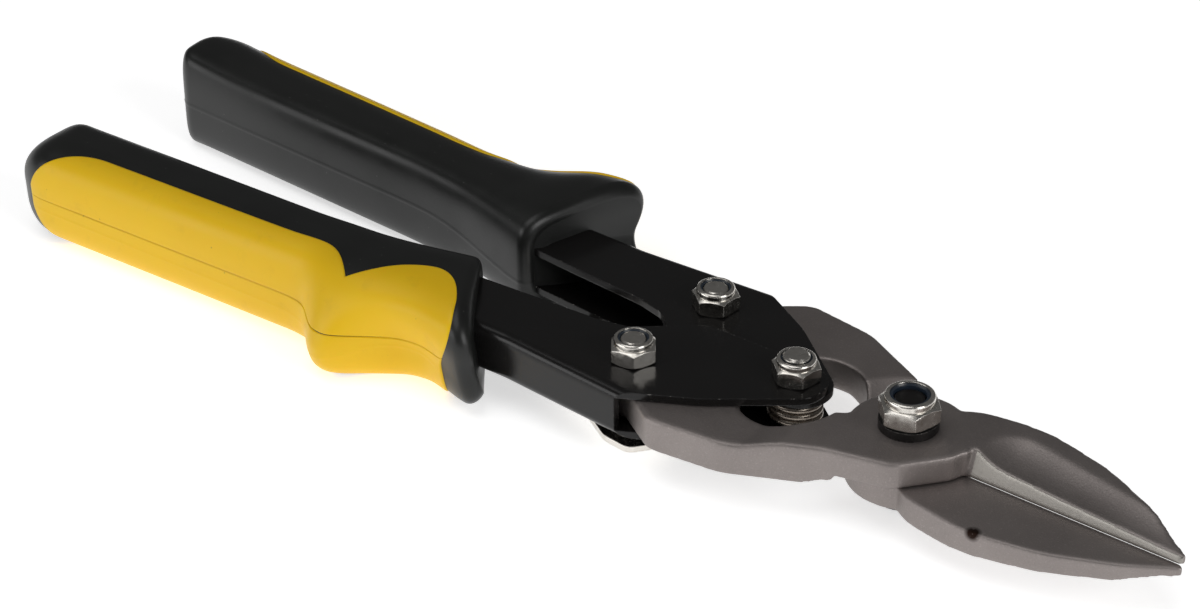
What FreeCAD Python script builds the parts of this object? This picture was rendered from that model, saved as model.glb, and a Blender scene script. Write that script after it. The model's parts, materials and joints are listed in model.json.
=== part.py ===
import FreeCAD, Part
import math
import os

# Aviation snips: two forged blades, two folded channel handles, moulded grips.
# Everything is laid out about the blade pivot P0, +X to the tips, +Z to the nuts.
# The blades slide on the plane z = 0.  The far half of the tool is the near half
# turned 180 degrees about the X axis, so each blade, channel and grip is drawn once;
# only the boss flank of the lower blade is a little fuller.

V = FreeCAD.Vector

# Overall layout
TIP_X = 55.0
REAR_X = -196.4
HANDLE_PIVOT = (-24.0, 0.0)
TANG_PIVOT = (-51.0, -12.5)

# Blades
BLADE_TOP = 5.4
FACE_GAP = 0.05
TANG_THICK = 6.5
STAGGER = 0.75
BOSS_R = 11.0
LUG_R = 6.9
# Extra metal on the outer flank of each blade's boss
UPPER_FLANK = 0.0
LOWER_FLANK = 1.6
RELIEF_R = 9.5
RELIEF_CENTRE = (-22.5, -3.8)
CLEAR_R = 13.0
RAMP_R = 20.0
EDGE_Y = -0.6
EDGE_LEAN = 2.2
TIP_HEIGHT = 3.0
DISH_R = 13.0

# Channels, folded from sheet
SHEET = 1.5
CHANNEL_GAP = 6.9
STACK_GAP = 0.05
FOLD_R = 2.0
FOLD_LIMIT_Y = -21.0
WEB_END_X = -47.0
EAR_R = 6.3

# Grips
COLLAR_X = -77.0
GRIP_HALF = 10.7
GRIP_FILLET = 4.5
PAD_HALF = 9.0
PAD_CORE_HALF = 6.8

# Fasteners
M5_R = 2.5
M6_R = 3.0
RUNNING = 0.05
PIVOT_CLEARANCE = 0.4
M5_FLATS = 8.0
M6_FLATS = 10.0
M5_NUT_H = 4.5
M6_NUT_H = 5.0
WASHER_R = 5.4
WASHER_H = 1.7
M5_HEAD_R = 4.2
M5_HEAD_H = 2.4
M6_HEAD_H = 4.2
BOLT_PROUD = 0.6

# Return spring
WIRE = 1.4
COIL_R = 4.45
COIL_TURNS = 2.5
COIL_GAP = 0.06
SLEEVE_R = 3.4
LEG_LENGTH = 19.0
BEND_SWELL = 0.04

# Latch
LATCH_REST_TURN = 30.0
LATCH_SHEET = 1.2
SPACER_R = 4.6
SPACER_H = 1.55
HOOK_CLEAR = 0.5
HOOK_WIDTH = 2.8


def arc_corner(before, here, after, radius):
    """Tangent arc that rounds one corner: its start, middle and end."""
    back = (before - here).normalize()
    ahead = (after - here).normalize()
    half = back.getAngle(ahead) / 2
    bisector = (back + ahead).normalize()
    run = radius / math.tan(half)
    centre = here + bisector * (radius / math.sin(half))
    return here + back * run, centre - bisector * radius, here + ahead * run


def rounded_wire(corners):
    """Closed wire through (x, y, radius) corners."""
    points = [V(x, y, 0) for x, y, _ in corners]
    stretches = []
    for i, (_, _, radius) in enumerate(corners):
        if radius > 0:
            after = points[(i + 1) % len(points)]
            stretches.append(arc_corner(points[i - 1], points[i], after, radius))
        else:
            stretches.append((points[i], None, points[i]))
    edges = []
    for i, (start, middle, end) in enumerate(stretches):
        if middle is not None:
            edges.append(Part.Arc(start, middle, end).toShape())
        following = stretches[(i + 1) % len(stretches)][0]
        if end.distanceToPoint(following) > 1e-6:
            edges.append(Part.makeLine(end, following))
    return Part.Wire(edges)


def slab(corners, low, high):
    """Solid of the rounded outline between two heights."""
    solid = Part.Face(rounded_wire(corners)).extrude(V(0, 0, high - low))
    solid.translate(V(0, 0, low))
    return solid


def disc(centre, radius, low, high):
    """Round post on a vertical axis."""
    return Part.makeCylinder(radius, high - low, V(centre[0], centre[1], low))


def hexagon(centre, flats, low, high, turn=0.0):
    """Hexagonal prism, one corner at the turn angle."""
    corner_r = flats / math.sqrt(3)
    points = []
    for step in range(6):
        angle = math.radians(turn + 60 * step)
        points.append((centre[0] + corner_r * math.cos(angle), centre[1] + corner_r * math.sin(angle), 0))
    return slab(points, low, high)


def side_prism(points, low_y, high_y):
    """Solid of an x-z outline between two y values."""
    wire = Part.makePolygon([V(x, low_y, z) for x, z in points + points[:1]])
    return Part.Face(wire).extrude(V(0, high_y - low_y, 0))


def flat_edges(solid, heights):
    """Edges that lie flat at the given heights."""
    rims = []
    for edge in solid.Edges:
        box = edge.BoundBox
        if box.ZLength < 1e-6 and any(abs(box.ZMin - height) < 1e-6 for height in heights):
            rims.append(edge)
    return rims


def round_rims(solid, radius, heights):
    """Fillet the outline edges that lie flat at the given heights."""
    return solid.makeFillet(radius, flat_edges(solid, heights))


def turn_over(shape):
    """The same piece on the far side of the tool."""
    return shape.rotated(V(0, 0, 0), V(1, 0, 0), 180)


def blade_outline(flank):
    """Tang, boss flank and blade of the near-tang blade, seen from above."""
    lug_x = TANG_PIVOT[0] - LUG_R
    lug_low = TANG_PIVOT[1] - LUG_R
    lug_high = TANG_PIVOT[1] + LUG_R
    return [
        (lug_x, lug_high, LUG_R - 0.01), (lug_x, lug_low, LUG_R - 0.01),
        (-47.5, lug_low, 3), (-38.5, -24.8 - flank, 5), (-24, -23.0 - flank, 12),
        (-8, -15.2 - flank, 10), (4.5, -11.9 - flank, 5), (11.2, -3.5, 4), (12.2, EDGE_Y, 0.6),
        (TIP_X - 1.2, EDGE_Y, 0.5), (TIP_X + 0.2, 0.4, 0.5),
        (46, 6.3, 30), (34, 11.6, 30), (20.5, 14.2, 25), (5, 11.6, 12),
        (0, 4, 0), (-13, -4, 0), (-30, lug_high, 0),
    ]


def tang_under(flank):
    """The half of the tang that drops below the sliding plane, ramped at the boss."""
    bottom = STAGGER - TANG_THICK / 2
    under = slab(blade_outline(flank), bottom, FACE_GAP)
    keep = Part.makeBox(80, 60, 20, V(-86, -40, -10))
    ramp = Part.makeCone(RAMP_R, CLEAR_R, FACE_GAP - bottom, V(0, 0, bottom))
    return under.common(keep).cut(ramp)


def blade_top_slopes():
    """Waste above the tang and above the tapering tip."""
    tang_top = STAGGER + TANG_THICK / 2
    over = BLADE_TOP + 5
    slope = [(-70, tang_top), (-21, tang_top), (-15, BLADE_TOP), (-15, over), (-70, over)]
    tang = side_prism(slope, -40, 40)
    tip = side_prism([(14, BLADE_TOP), (TIP_X + 5, TIP_HEIGHT), (TIP_X + 5, over), (14, over)], -40, 40)
    return [tang, tip]


def dish():
    """Hollow ground along the top of the blade, between the spine and the edge."""
    start = V(20.5, 3.2, DISH_R + 3.3)
    end = V(TIP_X + 4, -1.6, DISH_R + 1.6)
    run = end - start
    trough = Part.makeCylinder(DISH_R, run.Length, start, run)
    return trough.fuse(Part.makeSphere(DISH_R, start))


def edge_lean():
    """Waste in front of the ground cutting face, which leans back a little."""
    points = [V(0, EDGE_Y - 5, 0), V(0, EDGE_Y, 0), V(0, EDGE_Y + EDGE_LEAN, BLADE_TOP + 1)]
    points.append(V(0, EDGE_Y - 5, BLADE_TOP + 1))
    face = Part.Face(Part.makePolygon(points + points[:1]))
    waste = face.extrude(V(TIP_X, 0, 0))
    waste.translate(V(12.6, 0, 0))
    return waste


def make_blade(pivot_hole_r, flank):
    """Forged blade with its tang on the near side."""
    body = slab(blade_outline(flank), FACE_GAP, BLADE_TOP).fuse(disc((0, 0), BOSS_R, FACE_GAP, BLADE_TOP))
    body = body.removeSplitter()
    for waste in blade_top_slopes():
        body = body.cut(waste)
    blade = body.fuse(tang_under(flank)).removeSplitter()
    for waste in (dish(), edge_lean(), disc(RELIEF_CENTRE, RELIEF_R, -10, 10)):
        blade = blade.cut(waste)
    blade = blade.cut(disc((0, 0), pivot_hole_r, -10, 10))
    return blade.cut(disc(TANG_PIVOT, M5_R + RUNNING, -10, 10))


def channel_outline():
    """Near channel cheek, tail inside the grip, ear reaching to the handle pivot."""
    ear_x = HANDLE_PIVOT[0] + EAR_R
    return [
        (-183, -17.5, 3), (-183, -26.0, 0), (-120, -23.8, 60), (-88, -21.8, 30), (-74, -21.6, 20),
        (WEB_END_X, -23.4, 0), (-33.5, -16, 20), (ear_x, -3.8, 5.2), (ear_x, 5.2, 5.7),
        (-47, 4.6, 5), (-58, -4.8, 3), (-64, -6.2, 8), (-90, -8, 20), (-125, -12.5, 40),
    ]


def channel_hollow():
    """Space inside the fold, open towards the far handle and ahead of the web."""
    return [
        (-190, 20, 0), (-190, -24.7, 0), (-120, -22.3, 60), (-88, -20.3, 30), (-74, -20.1, 20),
        (WEB_END_X, -21.9, 0), (WEB_END_X, -40, 0), (0, -40, 0), (0, 20, 0),
    ]


def make_channel():
    """Folded U-channel with a web on its outer side and holes for its two bolts."""
    middle = CHANNEL_GAP / 2
    low = STAGGER - middle - SHEET + STACK_GAP
    high = STAGGER + middle + SHEET
    outer = slab(channel_outline(), low, high)
    folds = [edge for edge in flat_edges(outer, (low, high)) if edge.BoundBox.YMax < FOLD_LIMIT_Y]
    outer = outer.makeFillet(FOLD_R, folds)
    inside = slab(channel_hollow(), STAGGER - middle, STAGGER + middle + STACK_GAP)
    channel = outer.cut(inside)
    for centre in (HANDLE_PIVOT, TANG_PIVOT):
        channel = channel.cut(disc(centre, M5_R + RUNNING, -10, 10))
    return channel


def grip_outline():
    """Grip from above: flat inner side, finger stop, and a collar cut off at a slant."""
    return [
        (REAR_X, -14.0, 4), (REAR_X, -32.6, 10), (-150, -29.8, 60), (-121, -28.2, 12),
        (-107, -36.9, 5), (-95, -31.6, 8), (-86, -32.6, 6), (COLLAR_X, -30.4, 5),
        (COLLAR_X - 1, -20, 4), (-91.0, -5.0, 3), (-99, -7.6, 8), (-114, -11, 30),
    ]


def pad_outline():
    """Area of the soft pad from above: the outer side of the grip, two lobes."""
    return [
        (-194.0, -50, 0), (-194.0, -20.0, 9), (-116, -17.6, 4), (-112, -22, 1.5),
        (-107, -17.5, 6), (-91, -16.5, 5), (-87.5, -28, 4), (-87.5, -50, 0),
    ]


def pad_core():
    """Inner limit of the pad from above: it stays outside the channel's web."""
    return [(-198, 10, 0), (-198, -27.4, 0), (-120, -24.8, 0), (-80, -22.6, 0), (-80, 10, 0)]


def make_grip(channel):
    """Moulded grip body and the pad wrapped round its outer side."""
    blank = slab(grip_outline(), -GRIP_HALF, GRIP_HALF)
    blank = round_rims(blank, GRIP_FILLET, (-GRIP_HALF, GRIP_HALF))
    pad = blank.common(slab(pad_outline(), -PAD_HALF, PAD_HALF))
    pad = pad.cut(slab(pad_core(), -PAD_CORE_HALF, PAD_CORE_HALF))
    return blank.cut(pad).cut(channel), pad


def corner_cone(centre, flats, low, height, widens_up):
    """Cone that trims the corners of a hexagon at 30 degrees, at its lower or upper face."""
    rim = flats * 0.475
    spread = rim + height / math.tan(math.radians(30))
    radii = (rim, spread) if widens_up else (spread, rim)
    return Part.makeCone(radii[0], radii[1], height, V(centre[0], centre[1], low))


def make_nut(centre, flats, bore_r, height, seat, turn):
    """Locking nut: chamfered hexagon under a rolled collar, with its nylon ring."""
    hex_h = height * 0.72
    blank = hexagon(centre, flats, seat, seat + hex_h, turn)
    blank = blank.common(corner_cone(centre, flats, seat, hex_h, True))
    blank = blank.common(corner_cone(centre, flats, seat, hex_h, False))
    collar = disc(centre, flats * 0.452, seat + hex_h - 0.4, seat + height)
    collar = round_rims(collar, 0.5, (seat + height,))
    nut = blank.fuse(collar).cut(disc(centre, bore_r, seat - 1, seat + height + 1))
    ring_r = flats * 0.36
    ring_low = seat + hex_h
    nut = nut.cut(disc(centre, ring_r, ring_low, seat + height + 1))
    ring = disc(centre, ring_r, ring_low, seat + height - 0.35)
    ring = ring.cut(disc(centre, bore_r, ring_low - 1, seat + height))
    return nut, ring


def make_bolt(centre, radius, head, head_low, top):
    """Bolt with a chamfered end, standing on its head."""
    shank = disc(centre, radius, head_low, top)
    end = [edge for edge in shank.Edges if abs(edge.BoundBox.ZMin - top) < 1e-6]
    return shank.makeChamfer(0.4, end).fuse(head).removeSplitter()


def button_head(centre, low, high):
    """Low round head with a hexagonal key socket."""
    head = round_rims(disc(centre, M5_HEAD_R, low, high), 0.9, (low,))
    return head.cut(hexagon(centre, 3.0, low - 1, low + 1.3))


def make_tang_bolt(head_top, nut_seat):
    """Bolt through a channel and the blade lug between its cheeks."""
    low = head_top - M5_HEAD_H
    head = button_head(TANG_PIVOT, low, head_top)
    socket = hexagon(TANG_PIVOT, 3.0, low - 1, low + 1.3)
    bolt = make_bolt(TANG_PIVOT, M5_R, head, low, nut_seat + M5_NUT_H - 0.2)
    return bolt.cut(socket)


def make_handle_bolt(head_top, nut_seat):
    """Bolt that joins the two handles."""
    low = head_top - M5_HEAD_H
    head = button_head(HANDLE_PIVOT, low, head_top)
    socket = hexagon(HANDLE_PIVOT, 3.0, low - 1, low + 1.3)
    bolt = make_bolt(HANDLE_PIVOT, M5_R, head, low, nut_seat + M5_NUT_H + BOLT_PROUD)
    return bolt.cut(socket)


def make_pivot_bolt(nut_seat):
    """Blade bolt: hexagonal head under the lower blade."""
    head_top = -BLADE_TOP
    head = hexagon((0, 0), M6_FLATS, head_top - M6_HEAD_H, head_top, 30)
    head_low = head_top - M6_HEAD_H
    head = head.common(corner_cone((0, 0), M6_FLATS, head_low, M6_HEAD_H, True))
    return make_bolt((0, 0), M6_R, head, head_low, nut_seat + M6_NUT_H - 0.9)


def spring_path(low):
    """Coil round the handle pivot with a straight leg to each blade tang."""
    pitch = WIRE + COIL_GAP
    height = pitch * COIL_TURNS
    coil = Part.makeHelix(pitch, height, COIL_R)
    coil = coil.mirror(V(0, 0, 0), V(0, 1, 0))
    coil.rotate(V(0, 0, 0), V(0, 0, 1), 90)
    coil.translate(V(HANDLE_PIVOT[0], HANDLE_PIVOT[1], low + WIRE / 2))
    return coil


def make_spring():
    """Torsion return spring, legs lying along the inner edges of the tangs."""
    low = -COIL_TURNS * (WIRE + COIL_GAP) / 2 - WIRE / 2
    coil = spring_path(low)
    ends = (coil.Edges[0].valueAt(coil.Edges[0].FirstParameter),
            coil.Edges[-1].valueAt(coil.Edges[-1].LastParameter))
    profile = Part.Wire(Part.makeCircle(WIRE / 2, ends[0], coil.Edges[0].tangentAt(0)))
    spring = Part.Wire(coil.Edges).makePipeShell([profile], True, True)
    for end in ends:
        spring = spring.fuse(Part.makeSphere(WIRE / 2 + BEND_SWELL, end))
        spring = spring.fuse(Part.makeCylinder(WIRE / 2, LEG_LENGTH, end, V(-1, 0, 0)))
    return spring


def latch_outline():
    """Latch plate about the tang bolt, arm towards -X; its slot opens towards the far handle."""
    x, y = TANG_PIVOT
    slot_far = x + 2 * y - M5_HEAD_R - HOOK_CLEAR
    slot_floor = y - M5_HEAD_R - HOOK_CLEAR
    tip = slot_far - HOOK_WIDTH
    back = slot_floor - 4.0
    return [
        (x + 8.6, y + 6.2, 4), (x - 8, y + 6.6, 5), (x - 14, slot_floor, 4), (slot_far, slot_floor, 2),
        (slot_far, y + 4.5, 1), (tip, y + 4.5, 1.5), (tip, back, 4), (x - 11, back, 6),
        (x - 4, y - 8.0, 5), (x + 5.4, y - 8.0, 5), (x + 10.8, y - 5.6, 2.5), (x + 11.4, y - 1.2, 2.5),
    ]


def make_latch(top):
    """Stamped hook that swings across to the head of the far tang bolt."""
    plate = slab(latch_outline(), top - LATCH_SHEET, top)
    plate.rotate(V(TANG_PIVOT[0], TANG_PIVOT[1], 0), V(0, 0, 1), -LATCH_REST_TURN)
    return plate.cut(disc(TANG_PIVOT, M5_R + RUNNING, -20, 0))


def make_ring(centre, outer_r, inner_r, low, high):
    """Plain washer or sleeve."""
    return disc(centre, outer_r, low, high).cut(disc(centre, inner_r, low - 1, high + 1))


def build():
    """Every piece by node name, about the blade pivot."""
    parts = {}
    near_top = STAGGER + CHANNEL_GAP / 2 + SHEET
    near_low = STAGGER - CHANNEL_GAP / 2 - SHEET + STACK_GAP
    pivot_seat = BLADE_TOP + FACE_GAP + WASHER_H
    spacer_low = near_low - SPACER_H
    latch_top = spacer_low - FACE_GAP
    latch_low = latch_top - LATCH_SHEET

    parts["upper_blade"] = make_blade(M6_R + PIVOT_CLEARANCE, UPPER_FLANK)
    parts["lower_blade"] = turn_over(make_blade(M6_R, LOWER_FLANK))
    parts["near_channel"] = make_channel()
    parts["far_channel"] = turn_over(parts["near_channel"])
    parts["near_grip_body"], parts["near_grip_pad"] = make_grip(parts["near_channel"])
    parts["far_grip_body"] = turn_over(parts["near_grip_body"])
    parts["far_grip_pad"] = turn_over(parts["near_grip_pad"])

    parts["pivot_bolt"] = make_pivot_bolt(pivot_seat)
    parts["pivot_washer"] = make_ring((0, 0), WASHER_R, M6_R, BLADE_TOP + FACE_GAP, pivot_seat)
    parts["pivot_nut"], parts["pivot_nut_insert"] = make_nut(
        (0, 0), M6_FLATS, M6_R, M6_NUT_H, pivot_seat, -46)
    parts["handle_bolt"] = make_handle_bolt(-near_top - STACK_GAP, near_top)
    parts["handle_nut"], parts["handle_nut_insert"] = make_nut(
        HANDLE_PIVOT, M5_FLATS, M5_R, M5_NUT_H, near_top, -40)
    parts["near_tang_bolt"] = make_tang_bolt(latch_low - FACE_GAP, near_top)
    parts["near_tang_nut"], parts["near_tang_nut_insert"] = make_nut(
        TANG_PIVOT, M5_FLATS, M5_R, M5_NUT_H, near_top, -52)

    far_seat = -near_low
    far_bolt = make_tang_bolt(-near_top, far_seat)
    nut, ring = make_nut(TANG_PIVOT, M5_FLATS, M5_R, M5_NUT_H, far_seat, -35)
    across = V(0, -2 * TANG_PIVOT[1], 0)
    parts["far_tang_bolt"] = far_bolt.translated(across)
    parts["far_tang_nut"] = nut.translated(across)
    parts["far_tang_nut_insert"] = ring.translated(across)

    sleeve_half = CHANNEL_GAP / 2 - STAGGER - FACE_GAP
    parts["spring_sleeve"] = make_ring(
        HANDLE_PIVOT, SLEEVE_R, M5_R + RUNNING, -sleeve_half, sleeve_half)
    parts["return_spring"] = make_spring()
    parts["latch_spacer"] = make_ring(TANG_PIVOT, SPACER_R, M5_R, spacer_low, near_low)
    parts["latch_plate"] = make_latch(latch_top)
    return parts


def main():
    """Move the origin under the middle of the whole tool and write the pieces."""
    os.makedirs("parts", exist_ok=True)
    parts = build()
    box = Part.makeCompound(list(parts.values())).BoundBox
    shift = V(-(box.XMin + box.XMax) / 2, -(box.YMin + box.YMax) / 2, -box.ZMin)
    print("blade pivot P0 at", tuple(round(value, 4) for value in shift))
    for name, shape in parts.items():
        placed = shape.translated(shift)
        print(name, placed.isValid(), len(placed.Solids), round(placed.Volume, 1))
        placed.exportStep("parts/" + name + ".step")


main()
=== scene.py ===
import bpy
import json
import math
import numpy as np
from mathutils import Matrix, Vector


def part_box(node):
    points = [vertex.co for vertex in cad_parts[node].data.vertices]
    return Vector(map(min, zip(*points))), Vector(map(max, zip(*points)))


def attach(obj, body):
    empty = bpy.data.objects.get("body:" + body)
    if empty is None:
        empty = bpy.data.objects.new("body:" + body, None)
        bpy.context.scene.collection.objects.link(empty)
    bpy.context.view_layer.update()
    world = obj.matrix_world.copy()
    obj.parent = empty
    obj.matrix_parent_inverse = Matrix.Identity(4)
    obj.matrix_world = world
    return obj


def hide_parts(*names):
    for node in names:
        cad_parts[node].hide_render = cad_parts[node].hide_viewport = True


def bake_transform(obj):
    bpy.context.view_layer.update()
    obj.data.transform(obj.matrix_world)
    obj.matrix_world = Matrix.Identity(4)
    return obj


MM = 0.001

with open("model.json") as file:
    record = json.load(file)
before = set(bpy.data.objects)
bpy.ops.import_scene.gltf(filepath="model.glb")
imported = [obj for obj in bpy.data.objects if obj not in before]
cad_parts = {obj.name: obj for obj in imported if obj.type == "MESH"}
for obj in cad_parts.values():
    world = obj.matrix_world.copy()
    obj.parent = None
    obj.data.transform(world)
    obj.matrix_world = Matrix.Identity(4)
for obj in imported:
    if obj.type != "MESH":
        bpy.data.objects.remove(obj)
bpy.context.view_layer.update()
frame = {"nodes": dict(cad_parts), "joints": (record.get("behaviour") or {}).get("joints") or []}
nodes = frame["nodes"]


def joint_point(name):
    """Pivot of a joint at rest, in metres."""
    for joint in frame["joints"]:
        if joint["name"] == name:
            return Vector(joint["pos_m"])
    raise ValueError(name)


def middle(node):
    """Middle of a CAD node's box."""
    low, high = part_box(node)
    return (low + high) / 2


HANDLE_PIVOT = joint_point("handle_open")
BLADE_PIVOT = Vector((middle("pivot_washer").x, 0.0, HANDLE_PIVOT.z))


def from_pivot(x, y, z):
    """A place given in millimetres from the blade pivot."""
    return BLADE_PIVOT + Vector((x, y, z)) * MM


# ---------------------------------------------------------------- node helpers

BEVEL_SAMPLES = 4
EDGE_FLAT = 0.995
EDGE_SHARP = 0.90


class Graph:
    """Short calls for building one material's node tree."""

    def __init__(self, name):
        self.material = bpy.data.materials.new(name)
        self.material.use_nodes = True
        self.tree = self.material.node_tree
        self.tree.nodes.clear()
        self.output = self.add("ShaderNodeOutputMaterial")
        self.shader = self.add("ShaderNodeBsdfPrincipled")
        self.link(self.shader.outputs[0], self.output.inputs[0])
        self.place = self.add("ShaderNodeTexCoord").outputs["Object"]

    def add(self, kind):
        return self.tree.nodes.new(kind)

    def link(self, source, target):
        self.tree.links.new(source, target)

    def put(self, socket, value):
        """A number or colour is set on the socket, anything else is linked to it."""
        if isinstance(value, bpy.types.NodeSocket):
            self.link(value, socket)
        elif isinstance(value, (tuple, list)) and len(value) == 3 and socket.type == "RGBA":
            socket.default_value = (*value, 1.0)
        else:
            socket.default_value = value

    def noise(self, size_mm, detail=3.0, roughness=0.55, stretch=None):
        """Noise whose blobs are about size_mm across, from 0 to 1."""
        node = self.add("ShaderNodeTexNoise")
        node.inputs["Scale"].default_value = 1.0 / (size_mm * MM)
        node.inputs["Detail"].default_value = detail
        node.inputs["Roughness"].default_value = roughness
        self.put(node.inputs["Vector"], self.stretched(stretch) if stretch else self.place)
        return node.outputs["Fac"]

    def stretched(self, factors):
        """Object coordinates scaled along each axis."""
        node = self.add("ShaderNodeVectorMath")
        node.operation = "MULTIPLY"
        self.put(node.inputs[0], self.place)
        node.inputs[1].default_value = factors
        return node.outputs[0]

    def cells(self, size_mm):
        """Distance to the nearest of scattered points."""
        node = self.add("ShaderNodeTexVoronoi")
        node.inputs["Scale"].default_value = 1.0 / (size_mm * MM)
        self.put(node.inputs["Vector"], self.place)
        return node.outputs["Distance"]

    def ramp(self, value, low, high, start=0.0, end=1.0):
        """value mapped from low..high to start..end and held at the ends."""
        node = self.add("ShaderNodeMapRange")
        self.put(node.inputs["Value"], value)
        node.inputs["From Min"].default_value = low
        node.inputs["From Max"].default_value = high
        node.inputs["To Min"].default_value = start
        node.inputs["To Max"].default_value = end
        return node.outputs["Result"]

    def math(self, operation, a, b=0.0):
        node = self.add("ShaderNodeMath")
        node.operation = operation
        self.put(node.inputs[0], a)
        self.put(node.inputs[1], b)
        return node.outputs[0]

    def mix(self, amount, a, b):
        """Colour a where amount is 0, b where it is 1."""
        node = self.add("ShaderNodeMix")
        node.data_type = "RGBA"
        self.put(node.inputs["Factor"], amount)
        self.put(node.inputs[6], a)
        self.put(node.inputs[7], b)
        return node.outputs[2]

    def edges(self, radius_mm):
        """1 on sharp edges, 0 on flat ground."""
        bevel = self.add("ShaderNodeBevel")
        bevel.samples = BEVEL_SAMPLES
        bevel.inputs["Radius"].default_value = radius_mm * MM
        geometry = self.add("ShaderNodeNewGeometry")
        node = self.add("ShaderNodeVectorMath")
        node.operation = "DOT_PRODUCT"
        self.link(bevel.outputs[0], node.inputs[0])
        self.link(geometry.outputs["Normal"], node.inputs[1])
        return self.ramp(node.outputs["Value"], EDGE_FLAT, EDGE_SHARP)

    def bump(self, heights, round_mm=0.0):
        """Chain of (height socket, depth in millimetres, strength), over rounded edges."""
        normal = None
        if round_mm:
            bevel = self.add("ShaderNodeBevel")
            bevel.samples = BEVEL_SAMPLES
            bevel.inputs["Radius"].default_value = round_mm * MM
            normal = bevel.outputs[0]
        for height, depth_mm, strength in heights:
            node = self.add("ShaderNodeBump")
            node.inputs["Strength"].default_value = strength
            node.inputs["Distance"].default_value = depth_mm * MM
            self.link(height, node.inputs["Height"])
            if normal is not None:
                self.link(normal, node.inputs["Normal"])
            normal = node.outputs[0]
        if normal is not None:
            self.link(normal, self.shader.inputs["Normal"])

    def surface(self, color, roughness, metallic=0.0, **extra):
        """Sets the shader up; extra names its other sockets, set rather than linked."""
        self.put(self.shader.inputs["Base Color"], color)
        self.put(self.shader.inputs["Roughness"], roughness)
        self.put(self.shader.inputs["Metallic"], metallic)
        for name, value in extra.items():
            self.shader.inputs[name.replace("_", " ")].default_value = value
        return self.material

    def near(self, centre, radius_mm, soft=0.4):
        """1 inside a ball in the row frame, fading over the soft share of its radius."""
        node = self.add("ShaderNodeVectorMath")
        node.operation = "DISTANCE"
        self.put(node.inputs[0], self.place)
        node.inputs[1].default_value = centre
        return self.ramp(node.outputs["Value"], radius_mm * MM, radius_mm * MM * (1 - soft))


# ------------------------------------------------------------------- materials

def forged_steel():
    """Sand-blasted drop forging: dark warm grey, fine pits, one rust stain."""
    g = Graph("forged_steel")
    grit = g.noise(0.28, 2.0, 0.7)
    pits = g.cells(0.45)
    patches = g.noise(14.0, 3.0, 0.5)
    fleck = g.ramp(g.noise(0.35, 1.0, 0.5), 0.60, 0.74)
    base = g.mix(patches, (0.215, 0.190, 0.182), (0.330, 0.296, 0.282))
    base = g.mix(g.math("MULTIPLY", fleck, 0.18), base, (0.50, 0.46, 0.43))
    stain = g.near(from_pivot(22.0, -13.2, -0.3), 1.7, 0.5)
    rough_stain = g.math("MULTIPLY", stain, g.ramp(g.noise(0.9), 0.20, 0.38))
    base = g.mix(rough_stain, base, (0.018, 0.008, 0.005))
    g.bump([(grit, 0.06, 0.55), (pits, 0.05, 0.25)])
    rough = g.ramp(grit, 0.3, 0.7, 0.42, 0.60)
    return g.surface(base, rough, 0.88, Specular_IOR_Level=0.5)


def ground_steel():
    """Freshly ground cutting face, with grinding lines across it."""
    g = Graph("ground_steel")
    lines = g.noise(0.16, 2.0, 0.6, stretch=(1.0, 0.05, 0.05))
    broad = g.noise(3.0, 2.0)
    base = g.mix(lines, (0.26, 0.245, 0.225), (0.42, 0.40, 0.37))
    base = g.mix(g.math("MULTIPLY", broad, 0.4), base, (0.24, 0.22, 0.20))
    g.bump([(lines, 0.03, 0.6)])
    return g.surface(base, g.ramp(lines, 0.3, 0.7, 0.30, 0.46), 0.9)


def black_paint():
    """Glossy black paint on folded sheet: slight orange peel, dust, chipped edges."""
    g = Graph("black_paint")
    peel = g.noise(1.6, 2.0, 0.5)
    dust = g.ramp(g.noise(0.5, 1.0), 0.70, 0.80)
    chip_noise = g.ramp(g.noise(0.8, 4.0, 0.7), 0.58, 0.66)
    chips = g.math("MULTIPLY", g.edges(0.35), chip_noise)
    base = g.mix(g.math("MULTIPLY", dust, 0.10), (0.0075, 0.0070, 0.0068), (0.12, 0.12, 0.11))
    base = g.mix(chips, base, (0.30, 0.29, 0.27))
    g.bump([(peel, 0.05, 0.10)], round_mm=0.3)
    rough = g.ramp(g.noise(6.0, 3.0), 0.3, 0.7, 0.16, 0.26)
    return g.surface(base, rough, 0.0, Specular_IOR_Level=0.32)


def nickel():
    """Bright nickel plate, a little uneven, with rounded corners."""
    g = Graph("nickel")
    cloud = g.noise(1.2, 3.0, 0.6)
    scratches = g.noise(0.5, 3.0, 0.7, stretch=(1.0, 1.0, 0.12))
    grime = g.ramp(g.noise(1.8, 3.0), 0.55, 0.72)
    base = g.mix(cloud, (0.66, 0.63, 0.58), (0.80, 0.77, 0.72))
    base = g.mix(g.math("MULTIPLY", grime, 0.35), base, (0.22, 0.19, 0.16))
    g.bump([(scratches, 0.02, 0.25)], round_mm=0.25)
    return g.surface(base, g.ramp(cloud, 0.3, 0.7, 0.14, 0.28), 1.0)


def nylon():
    """Dark blue-black nylon locking ring."""
    g = Graph("nylon")
    grain = g.noise(0.3, 2.0)
    base = g.mix(grain, (0.010, 0.016, 0.026), (0.020, 0.032, 0.050))
    g.bump([(grain, 0.02, 0.3)], round_mm=0.12)
    return g.surface(base, g.ramp(grain, 0.3, 0.7, 0.30, 0.45), 0.0)


def black_steel():
    """Blackened bolt and washer steel, rubbed bright in places."""
    g = Graph("black_steel")
    grain = g.noise(0.4, 3.0, 0.6)
    rub = g.math("MULTIPLY", g.edges(0.3), g.ramp(grain, 0.45, 0.65))
    base = g.mix(grain, (0.012, 0.011, 0.011), (0.030, 0.028, 0.027))
    base = g.mix(g.math("MULTIPLY", rub, 0.5), base, (0.30, 0.28, 0.26))
    g.bump([(grain, 0.02, 0.3)], round_mm=0.2)
    return g.surface(base, g.ramp(grain, 0.3, 0.7, 0.28, 0.45), 0.7)


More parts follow.
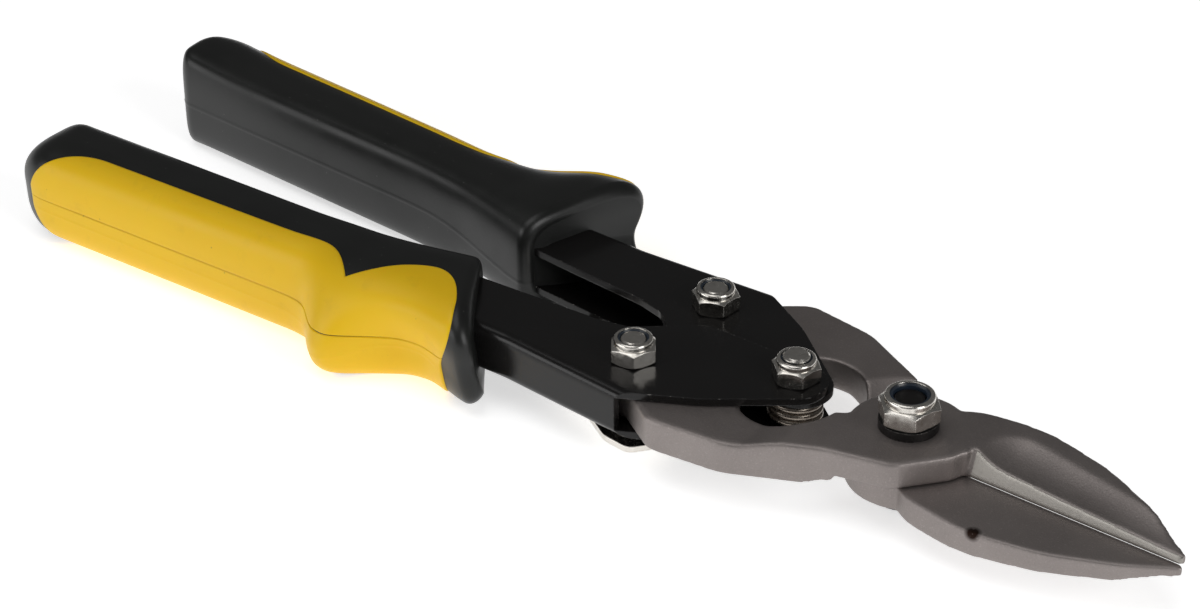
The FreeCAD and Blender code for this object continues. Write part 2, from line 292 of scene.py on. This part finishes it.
def spring_wire():
    """Oil-tempered wire: brown-grey, drawn along its length."""
    g = Graph("spring_wire")
    grain = g.noise(0.5, 3.0, 0.6)
    base = g.mix(grain, (0.16, 0.135, 0.11), (0.42, 0.37, 0.32))
    g.bump([(grain, 0.02, 0.3)])
    return g.surface(base, g.ramp(grain, 0.3, 0.7, 0.22, 0.38), 0.95)


def grip_plastic():
    """Satin black moulded plastic with a faint grain and smudges."""
    g = Graph("grip_plastic")
    grain = g.noise(0.35, 2.0, 0.6)
    smudge = g.noise(11.0, 4.0, 0.6)
    dust = g.ramp(g.cells(2.6), 0.06, 0.03)
    base = g.mix(smudge, (0.0070, 0.0074, 0.0070), (0.0120, 0.0128, 0.0118))
    base = g.mix(g.math("MULTIPLY", dust, 0.35), base, (0.16, 0.16, 0.15))
    g.bump([(grain, 0.03, 0.22)])
    return g.surface(base, g.ramp(smudge, 0.3, 0.7, 0.30, 0.42), 0.0, Specular_IOR_Level=0.4)


def grip_rubber():
    """Soft yellow pad: satin, slightly translucent, with finger dirt and dark specks."""
    g = Graph("grip_rubber")
    grain = g.noise(0.3, 2.0, 0.6)
    tone = g.noise(22.0, 3.0, 0.5)
    dirt = g.ramp(g.noise(5.0, 5.0, 0.65), 0.58, 0.78)
    speck = g.ramp(g.cells(4.5), 0.05, 0.025)
    base = g.mix(tone, (0.78, 0.475, 0.004), (0.84, 0.53, 0.006))
    base = g.mix(g.math("MULTIPLY", dirt, 0.16), base, (0.42, 0.24, 0.02))
    base = g.mix(g.math("MULTIPLY", speck, 0.5), base, (0.20, 0.12, 0.02))
    g.bump([(grain, 0.02, 0.18)])
    return g.surface(base, g.ramp(tone, 0.3, 0.7, 0.38, 0.48), 0.0, Specular_IOR_Level=0.32,
                     Subsurface_Weight=0.10, Subsurface_Scale=0.003)


def studio_floor():
    """Pale studio sweep with the faintest paper tooth."""
    g = Graph("studio_floor")
    tooth = g.noise(1.2, 2.0)
    base = g.mix(tooth, (0.86, 0.86, 0.86), (0.90, 0.90, 0.90))
    g.bump([(tooth, 0.02, 0.05)])
    g.shader.inputs["Emission Color"].default_value = (1, 1, 1, 1)
    return g.surface(base, 0.9, 0.0, Specular_IOR_Level=0.1, Emission_Strength=0.62)


FORGED = forged_steel()
GROUND = ground_steel()
PAINT = black_paint()
NICKEL = nickel()
NYLON = nylon()
BLACK_STEEL = black_steel()
WIRE = spring_wire()
PLASTIC = grip_plastic()
RUBBER = grip_rubber()

FINISHES = {
    PAINT: ["near_channel", "far_channel"],
    NICKEL: ["pivot_nut", "handle_bolt", "handle_nut", "near_tang_bolt", "near_tang_nut",
             "far_tang_bolt", "far_tang_nut", "latch_plate", "latch_spacer"],
    NYLON: ["pivot_nut_insert", "handle_nut_insert", "near_tang_nut_insert",
            "far_tang_nut_insert"],
    BLACK_STEEL: ["pivot_bolt", "pivot_washer"],
    WIRE: ["return_spring", "spring_sleeve"],
    FORGED: ["upper_blade", "lower_blade"],
    PLASTIC: ["near_grip_body", "far_grip_body"],
    RUBBER: ["near_grip_pad", "far_grip_pad"],
}
for finish, names in FINISHES.items():
    for name in names:
        nodes[name].data.materials.clear()
        nodes[name].data.materials.append(finish)


# ---------------------------------------------------------------- mesh helpers

def new_piece(name, points, faces, material, smooth=True):
    """Mesh object from points in metres."""
    mesh = bpy.data.meshes.new(name)
    mesh.from_pydata([tuple(p) for p in points], [], faces)
    mesh.materials.append(material)
    if smooth:
        mesh.polygons.foreach_set("use_smooth", [True] * len(mesh.polygons))
    mesh.update()
    piece = bpy.data.objects.new(name, mesh)
    bpy.context.scene.collection.objects.link(piece)
    return piece


def grid_faces(rows, columns, wrap):
    """Quads of a rows by columns grid, closed round its columns if wrap is set."""
    faces = []
    last = columns if wrap else columns - 1
    for i in range(rows - 1):
        for j in range(last):
            k = (j + 1) % columns
            row, after = i * columns, (i + 1) * columns
            faces.append((row + j, row + k, after + k, after + j))
    return faces


def smoothstep(x, low, high):
    """0 below low, 1 above high, easing in and out between."""
    t = np.clip((x - low) / (high - low), 0, 1)
    return t * t * (3 - 2 * t)


PROFILE_STEP = 0.1
BLUR_REACH = 3


def profile(points, blur):
    """Smooth curve near (x, value) points: straight runs blurred over a few millimetres."""
    xs = np.array([p[0] for p in points], float)
    ys = np.array([p[1] for p in points], float)
    reach = BLUR_REACH * blur
    fine = np.arange(xs[0] - reach, xs[-1] + reach, PROFILE_STEP)
    raw = np.interp(fine, xs, ys)
    offsets = np.arange(-reach, reach + PROFILE_STEP / 2, PROFILE_STEP)
    kernel = np.exp(-0.5 * (offsets / blur) ** 2)
    padded = np.pad(raw, len(kernel) // 2, mode="edge")
    soft = np.convolve(padded, kernel / kernel.sum(), mode="valid")[:len(fine)]
    return lambda x: np.interp(x, fine, soft)


# ----------------------------------------------------------------------- grips
# A grip is drawn in millimetres from the blade pivot, for the near handle. Stations run
# from the rear end to the collar. Angle 0 faces outwards, 90 degrees faces up.

REAR = -194.0
REAR_TILT = 2.0
FRONT = -91.0
REACH_TOP = {"near": 13.5, "far": 7.5}
REACH_LOW = 15.5
INNER_Y = profile([(-195.5, -14.7), (-125, -11.8), (-112, -10.2), (-99, -7.2), (-91, -5.0)], 3.0)
OUTER_TOP = {
    "near": profile([(-195.5, -32.6), (-150, -30.0), (-128, -28.6), (-118, -27.8), (-110, -30.6),
                     (-104, -31.2), (-96, -29.0), (-90, -28.6), (-84, -29.4), (-76, -29.0)], 2.0),
    "far": profile([(-195.5, -32.6), (-150, -30.0), (-128, -28.6), (-116, -27.6), (-106, -28.6),
                    (-99, -31.6), (-93, -35.2), (-87, -36.2), (-82, -35.8), (-76, -34.0)], 2.0),
}
OUTER_LOW = profile([(-195.5, -32.2), (-150, -29.8), (-122, -28.4), (-117, -29.0), (-110, -35.6),
                     (-106.5, -36.0), (-101, -31.0), (-95, -26.2), (-90, -25.3), (-85, -26.6),
                     (-80, -28.2), (-76, -28.2)], 1.4)
HALF_TOP = {
    "near": profile([(-196, 9.9), (-160, 10.1), (-120, 10.2), (-105, 10.2), (-76, 10.6)], 4.0),
    "far": profile([(-196, 12.0), (-188, 11.2), (-178, 10.5), (-120, 10.2), (-76, 10.6)], 3.0),
}
HALF_LOW = 10.35
COLLAR_CROWN = {"near": 0.0, "far": 1.4}
CENTRE_SHARE = 0.4
OUTER_POWER_TOP = 3.1
OUTER_POWER_LOW = 4.2
INNER_POWER = 4.4
REAR_ROUND = {"near": (5.0, 9.5, 9.5), "far": (4.0, 9.0, 4.0)}
LOW_BLEND = {"near": (-0.85, 0.35), "far": (-0.7, 0.7)}
COLLAR_ROUND = 2.6
END_ZONE = 11.0
REACH_FROM = -128.0
TILT_FROM = -180.0
CROWN_ZONE = (-104.0, -92.0)
OUTER_BLEND = (-0.4, 0.4)
SIDE_BLEND = (-0.3, 0.3)
REACH_BLEND = (-0.1, 0.9)
END_TAPER = 0.3


def rounding(distance, radius):
    """How far a rounded end of this radius stands in, at a distance from the end."""
    t = np.clip(1 - distance / radius, 0, 1)
    return radius * (1 - np.sqrt(1 - t ** 2))


def grip_surface(s, angle, side):
    """Points of the grip's skin in millimetres, s in millimetres along it, angle in radians."""
    s, angle = np.broadcast_arrays(np.asarray(s, float), np.asarray(angle, float))
    outward = np.cos(angle)
    upward = np.sin(angle)
    to_top = smoothstep(upward, *OUTER_BLEND)
    outer_power = OUTER_POWER_LOW + (OUTER_POWER_TOP - OUTER_POWER_LOW) * to_top
    power = INNER_POWER + (outer_power - INNER_POWER) * smoothstep(outward, *SIDE_BLEND)
    radius = (np.abs(outward) ** power + np.abs(upward) ** power) ** (-1 / power)
    reach = np.where(outward > 0, 1 - CENTRE_SHARE, CENTRE_SHARE)
    height = upward * radius
    share = CENTRE_SHARE + outward * radius * reach
    low = smoothstep(-height, *LOW_BLEND[side])
    inner_round, outer_round, end_round = REAR_ROUND[side]
    reach_top = REACH_TOP[side]
    reach_on = reach_top + (REACH_LOW - reach_top) * smoothstep(-height, *REACH_BLEND)
    tilt = REAR_TILT * smoothstep(-s, -TILT_FROM, -REAR)
    x = s + (reach_on * smoothstep(s, REACH_FROM, FRONT) - tilt) * share
    front = rounding(FRONT - s, COLLAR_ROUND)
    inner = INNER_Y(s) - rounding(s - REAR, inner_round) - front
    outline = OUTER_TOP[side](x) * (1 - low) + OUTER_LOW(x) * low
    outer = outline + rounding(s - REAR, outer_round) + front
    crown = COLLAR_CROWN[side] * share * smoothstep(x, *CROWN_ZONE)
    half = np.where(upward > 0, HALF_TOP[side](x) + crown, HALF_LOW)
    y = inner + (outer - inner) * share
    end = end_round * (1 - END_TAPER * (1 - share))
    z = height * (half - rounding(s - REAR, end) - front)
    return np.stack([x, y, z], -1)


SLOPE_STEP = 0.05
SLOPE_TURN = 0.01


def skin(s, angle, lift, side):
    """The grip's skin pushed out along its own normal by lift millimetres."""
    here = grip_surface(s, angle, side)
    along = (grip_surface(s + SLOPE_STEP, angle, side)
             - grip_surface(s - SLOPE_STEP, angle, side))
    around = (grip_surface(s, angle + SLOPE_TURN, side)
              - grip_surface(s, angle - SLOPE_TURN, side))
    normal = np.cross(along, around)
    length = np.linalg.norm(normal, axis=-1, keepdims=True)
    normal = normal / np.maximum(length, 1e-9)
    return here + normal * np.asarray(lift)[..., None]


def to_frame(points_mm, side):
    """Millimetres from the blade pivot to metres in the row frame; the far side is mirrored."""
    flat = np.asarray(points_mm, float).reshape(-1, 3).copy()
    if side == "far":
        flat[:, 1] *= -1
    return flat * MM + np.array(BLADE_PIVOT)


def faces_for(faces, side):
    """Faces wound the other way round on the mirrored side."""
    return [tuple(reversed(face)) for face in faces] if side == "far" else faces


MOULD_LINE_DROP = -3.2
MOULD_LINE_ZONE = (-122.0, -94.0)
MOULD_LINE_LIFT = 0.10
MOULD_LINE_WIDTH = 0.22
AROUND = 192


def grip_body(name, side):
    """Black moulded body: skin, rear end and collar, with its mould line on the inner face."""
    ease = np.linspace(0, 1, 24)
    rear = REAR + END_ZONE * (1 - np.cos(ease * math.pi / 2))
    long = np.linspace(REAR + END_ZONE, FRONT - COLLAR_ROUND, 240)[1:]
    front = FRONT - COLLAR_ROUND * (1 - np.sin(np.linspace(0, 1, 16) * math.pi / 2))
    s = np.concatenate([rear, long, front[1:]])
    angle = np.linspace(0, 2 * math.pi, AROUND, endpoint=False)
    ss, aa = np.meshgrid(s, angle, indexing="ij")
    flat = grip_surface(ss, aa, side)
    line_z = MOULD_LINE_DROP * smoothstep(ss, *MOULD_LINE_ZONE)
    on_inside = np.cos(aa) < -0.2
    line = MOULD_LINE_LIFT * np.exp(-((flat[..., 2] - line_z) / MOULD_LINE_WIDTH) ** 2)
    lift = np.where(on_inside, line, 0.0)
    points = skin(ss, aa, lift, side)
    rows, columns = ss.shape
    faces = grid_faces(rows, columns, True)
    faces.append(tuple(range(columns - 1, -1, -1)))
    faces.append(tuple(range((rows - 1) * columns, rows * columns)))
    return new_piece(name, to_frame(points, side), faces_for(faces, side), PLASTIC)


PAD_REAR = -188.0
PAD_FRONT = -93.5
PAD_FRONT_DROP = 4.0
PAD_CUSP = -112.0
PAD_END = 16.0
PAD_TOP = {
    "near": profile([(-195, 68), (-124, 68), (-113, 72), (-106, 84), (-98, 90), (-90, 88)], 1.0),
    "far": profile([(-195, 62), (-124, 62), (-113, 56), (-104, 52), (-97, 52), (-90, 48)], 1.0),
}
PAD_LOW = 68.0
PAD_LINE_Z = profile([(-195, -2.6), (-122, -3.6), (-114, -5.6), (-106, -1.6), (-98, -2.0),
                      (-90, -5.0)], 1.6)
PAD_LINE_LIFT = 0.05
PAD_LINE_WIDTH = 0.32
PAD_LIFT = 0.32
PAD_TUCK = 0.25
PAD_EDGE = 0.8
LOBE_REAR = 7.0
LOBE_FRONT = 12.0
LOBE_REAR_DIP = 0.30
LOBE_FRONT_DIP = 0.32
FRONT_ZONE = 7.0
FRONT_SHARE = 0.42
PAD_DROP_BLEND = (-0.8, 0.4)


def pad_limit(s, full):
    """Half-angle of the pad: two lobes that meet in a cusp above the finger stop."""
    rear_end = np.sqrt(np.clip(1 - np.clip((PAD_REAR + PAD_END - s) / PAD_END, 0, 1) ** 2.2, 0, 1))
    lobe_end = np.clip((s - (PAD_CUSP - LOBE_REAR)) / LOBE_REAR, 0, 1)
    rear_lobe = 1 - LOBE_REAR_DIP * lobe_end ** 2.6
    lobe_start = np.clip(1 - (s - PAD_CUSP) / LOBE_FRONT, 0, 1)
    front_lobe = 1 - LOBE_FRONT_DIP * lobe_start ** 2.0
    front_end = np.clip((s - (PAD_FRONT - FRONT_ZONE)) / FRONT_ZONE, 0, 1)
    narrowing = np.sqrt(np.clip(1 - front_end ** 2.6, 0, 1)) * FRONT_SHARE + (1 - FRONT_SHARE)
    lobes = np.where(s < PAD_CUSP, rear_lobe, front_lobe)
    return np.radians(full * rear_end * lobes * narrowing)


def pad_run(s, u):
    """The pad's front edge lies further back on the underside."""
    drop = PAD_FRONT_DROP * smoothstep(-u, *PAD_DROP_BLEND)
    return s - drop * smoothstep(s, PAD_CUSP, PAD_FRONT)


def grip_pad(name, side):
    """Yellow pad over the outer side, its rim tucked under the black skin."""
    ease = 1 - np.cos(np.linspace(0, 1, 40) * math.pi / 2)
    rest = np.linspace(PAD_REAR + PAD_END, PAD_FRONT, 300)[1:]
    s = np.concatenate([PAD_REAR + PAD_END * ease, rest])
    u = np.sin(np.linspace(-1, 1, 221) * math.pi / 2)
    ss, uu = np.meshgrid(s, u, indexing="ij")
    limit = pad_limit(ss, np.where(uu > 0, PAD_TOP[side](ss), PAD_LOW))
    angle = uu * limit
    run = pad_run(ss, uu)
    flat = grip_surface(run, angle, side)
    rim = grip_surface(pad_run(ss, np.sign(uu)), np.sign(uu) * limit, side)
    from_rim = np.linalg.norm(flat - rim, axis=-1)
    from_end = np.minimum(ss - PAD_REAR, PAD_FRONT - ss)
    depth = np.minimum(from_rim, from_end)
    rise = np.sqrt(np.clip(1 - (1 - np.clip(depth / PAD_EDGE, 0, 1)) ** 2, 0, 1))
    line = PAD_LINE_LIFT * np.exp(-((flat[..., 2] - PAD_LINE_Z(ss)) / PAD_LINE_WIDTH) ** 2)
    lift = -PAD_TUCK + (PAD_LIFT + PAD_TUCK) * rise + line * smoothstep(depth, 0.5, 2.0)
    points = skin(run, angle, lift, side)
    rows, columns = ss.shape
    faces = faces_for(grid_faces(rows, columns, False), side)
    return new_piece(name, to_frame(points, side), faces, RUBBER)


for side in ("near", "far"):
    body = grip_body(side + "_grip_skin", side)
    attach(body, side + "_handle")
    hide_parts(side + "_grip_body")
    pad = grip_pad(side + "_grip_soft_pad", side)
    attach(pad, side + "_handle")
    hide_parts(side + "_grip_pad")


# ---------------------------------------------------------------------- blades

def edge_average(values, edges, counts):
    """Mean of each vertex's neighbours."""
    total = np.zeros_like(values)
    for axis in range(values.shape[1]):
        total[:, axis] = (np.bincount(edges[:, 0], values[edges[:, 1], axis], len(values))
                          + np.bincount(edges[:, 1], values[edges[:, 0], axis], len(values)))
    return total / counts[:, None]


def remeshed(node, name, voxel_mm):
    """Copy of a CAD node's mesh in even small faces."""
    piece = bpy.data.objects.new(name, nodes[node].data.copy())
    bpy.context.scene.collection.objects.link(piece)
    modifier = piece.modifiers.new("remesh", "REMESH")
    modifier.mode = "VOXEL"
    modifier.voxel_size = voxel_mm * MM
    graph = bpy.context.evaluated_depsgraph_get()
    mesh = bpy.data.meshes.new_from_object(piece.evaluated_get(graph))
    piece.modifiers.clear()
    piece.data = mesh
    return piece


VOXEL = 0.29
ROUNDING_STEPS = 18
ROUNDING_RATE = 0.5
KEPT_CRISP = 0.6
SLIDE_ZONE = (-0.9, -0.3)
CUTTING_ZONE = (-2.4, -1.4)
CUTTING_START = (9.0, 14.0)
GROUND_FROM = 13.5
GROUND_FACING = 0.72
GROUND_Y = 0.3
GROUND_REACH = 1.2


def forged_blade(node, name, side):
    """Blade with rounded corners and a crisper cutting face; side is 1 for the upper."""
    piece = remeshed(node, name, VOXEL)
    mesh = piece.data
    count = len(mesh.vertices)
    points = np.empty(count * 3)
    mesh.vertices.foreach_get("co", points)
    points = points.reshape(-1, 3)
    edges = np.empty(len(mesh.edges) * 2, int)
    mesh.edges.foreach_get("vertices", edges)
    edges = edges.reshape(-1, 2)
    counts = np.bincount(edges.ravel(), minlength=count).astype(float)
    own = (points - np.array(BLADE_PIVOT)) / MM * (1, side, side)
    slide = smoothstep(-own[:, 2], *SLIDE_ZONE)
    cutting = (smoothstep(-np.abs(own[:, 1]), *CUTTING_ZONE)
               * smoothstep(own[:, 0], *CUTTING_START))
    weight = (1 - KEPT_CRISP * np.maximum(slide, cutting))[:, None]
    for _ in range(ROUNDING_STEPS):
        pull = edge_average(points, edges, counts) - points
        points = points + ROUNDING_RATE * weight * pull
    mesh.vertices.foreach_set("co", points.ravel())
    mesh.materials.clear()
    mesh.materials.append(FORGED)
    mesh.materials.append(GROUND)
    mesh.update()
    faces = len(mesh.polygons)
    normals = np.empty(faces * 3)
    mesh.polygons.foreach_get("normal", normals)
    facing = -normals.reshape(-1, 3)[:, 1] * side
    middles = np.empty(faces * 3)
    mesh.polygons.foreach_get("center", middles)
    middles = (middles.reshape(-1, 3) - np.array(BLADE_PIVOT)) / MM * (1, side, side)
    ground = ((facing > GROUND_FACING) & (np.abs(middles[:, 1] - GROUND_Y) < GROUND_REACH)
              & (middles[:, 0] > GROUND_FROM))
    mesh.polygons.foreach_set("material_index", ground.astype(int))
    mesh.polygons.foreach_set("use_smooth", [True] * faces)
    mesh.update()
    return piece


for node, name, side, body in (("upper_blade", "upper_blade_forging", 1, "near_blade"),
                               ("lower_blade", "lower_blade_forging", -1, "far_blade")):
    blade = forged_blade(node, name, side)
    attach(blade, body)
    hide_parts(node)


# ---------------------------------------------------------------------- spring

WIRE_R = 0.7
COIL_R = 4.45
COIL_TURNS = 2.5
COIL_PITCH = 1.46
LEG_LENGTH = 18.9
LEG_START = 0.4
LEG_POINTS = 24
COIL_POINTS = 181
WIRE_SIDES = 20


def spring_line():
    """Centre line in millimetres from the handle pivot: leg, left-handed coil, leg."""
    turns = np.linspace(0, COIL_TURNS, COIL_POINTS)
    angle = math.pi / 2 - 2 * math.pi * turns
    coil = np.stack([COIL_R * np.cos(angle), COIL_R * np.sin(angle),
                     COIL_PITCH * (turns - COIL_TURNS / 2)], -1)
    back = np.linspace(-LEG_LENGTH, -LEG_START, LEG_POINTS)
    flat = np.ones(LEG_POINTS)
    first = np.stack([back, flat * coil[0, 1], flat * coil[0, 2]], -1)
    last = np.stack([back[::-1], flat * coil[-1, 1], flat * coil[-1, 2]], -1)
    return np.concatenate([first, coil, last])


def tube(name, line, radius, material):
    """Round wire along a centre line, both given in millimetres, with closed ends."""
    along = np.gradient(line, axis=0)
    along /= np.linalg.norm(along, axis=1, keepdims=True)
    side = np.cross(along, (0, 0, 1))
    side /= np.linalg.norm(side, axis=1, keepdims=True)
    over = np.cross(side, along)
    angle = np.linspace(0, 2 * math.pi, WIRE_SIDES, endpoint=False)
    ring = (np.cos(angle)[None, :, None] * side[:, None]
            + np.sin(angle)[None, :, None] * over[:, None])
    points = line[:, None] + radius * ring
    faces = grid_faces(len(line), WIRE_SIDES, True)
    faces.append(tuple(range(WIRE_SIDES - 1, -1, -1)))
    faces.append(tuple(range((len(line) - 1) * WIRE_SIDES, len(line) * WIRE_SIDES)))
    placed = points.reshape(-1, 3) * MM + np.array(HANDLE_PIVOT)
    return new_piece(name, placed, faces, material)


spring = tube("return_spring_wire", spring_line(), WIRE_R, WIRE)
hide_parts("return_spring")
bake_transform(spring)


# ---------------------------------------------------------------------- stage

FLOOR_HALF = 6.0
WORLD_STRENGTH = 0.10
LIGHT_TARGET = Vector((0.0, 0.0, 0.01))


def add_floor():
    """Flat square under the tool."""
    points = [(-FLOOR_HALF, -FLOOR_HALF, 0), (FLOOR_HALF, -FLOOR_HALF, 0),
              (FLOOR_HALF, FLOOR_HALF, 0), (-FLOOR_HALF, FLOOR_HALF, 0)]
    floor = new_piece("studio_floor", points, [(0, 1, 2, 3)], studio_floor(), smooth=False)


def add_light(name, place, size, power):
    """Soft box that faces the middle of the tool."""
    light = bpy.data.lights.new(name, "AREA")
    light.shape = "RECTANGLE"
    light.size, light.size_y = size
    light.energy = power
    lamp = bpy.data.objects.new(name, light)
    lamp.location = Vector(place)
    aim = LIGHT_TARGET - lamp.location
    lamp.rotation_euler = aim.to_track_quat("-Z", "Y").to_euler()
    bpy.context.scene.collection.objects.link(lamp)


def add_world():
    """Dim white surroundings."""
    world = bpy.data.worlds.new("studio")
    world.use_nodes = True
    background = world.node_tree.nodes["Background"]
    background.inputs["Color"].default_value = (1, 1, 1, 1)
    background.inputs["Strength"].default_value = WORLD_STRENGTH
    bpy.context.scene.world = world


CAMERA_AZIMUTH = math.radians(38.41)
CAMERA_ELEVATION = math.radians(31.95)
CAMERA_ROLL = math.radians(-0.33)
CAMERA_DISTANCE = 541.3
CAMERA_SHIFT = (-53.84, 25.69)
CAMERA_LENS = 92.61


def add_camera():
    """Three-quarter view from the near side, framed a little off the blade pivot."""
    a, e, r = CAMERA_AZIMUTH, CAMERA_ELEVATION, CAMERA_ROLL
    back = Vector((math.sin(a) * math.cos(e), -math.cos(a) * math.cos(e), math.sin(e)))
    right = Vector((math.cos(a), math.sin(a), 0))
    up = back.cross(right)
    right, up = math.cos(r) * right + math.sin(r) * up, -math.sin(r) * right + math.cos(r) * up
    across, upward = CAMERA_SHIFT
    place = BLADE_PIVOT + MM * (CAMERA_DISTANCE * back + across * right + upward * up)
    data = bpy.data.cameras.new("camera")
    data.sensor_width = 36.0
    data.lens = CAMERA_LENS
    data.clip_start = 0.01
    camera = bpy.data.objects.new("camera", data)
    turn = Matrix((right, up, back)).transposed()
    camera.matrix_world = Matrix.Translation(place) @ turn.to_4x4()
    bpy.context.scene.collection.objects.link(camera)
    bpy.context.scene.camera = camera


add_floor()
add_world()
add_light("overhead", (-0.15, -0.25, 1.1), (1.0, 0.8), 3.6)
add_light("front", (-0.55, -0.95, 0.35), (0.9, 0.5), 3.6)
add_light("side", (0.95, -0.1, 0.45), (0.5, 0.6), 4)
add_camera()
bpy.context.scene.view_settings.view_transform = "Standard"
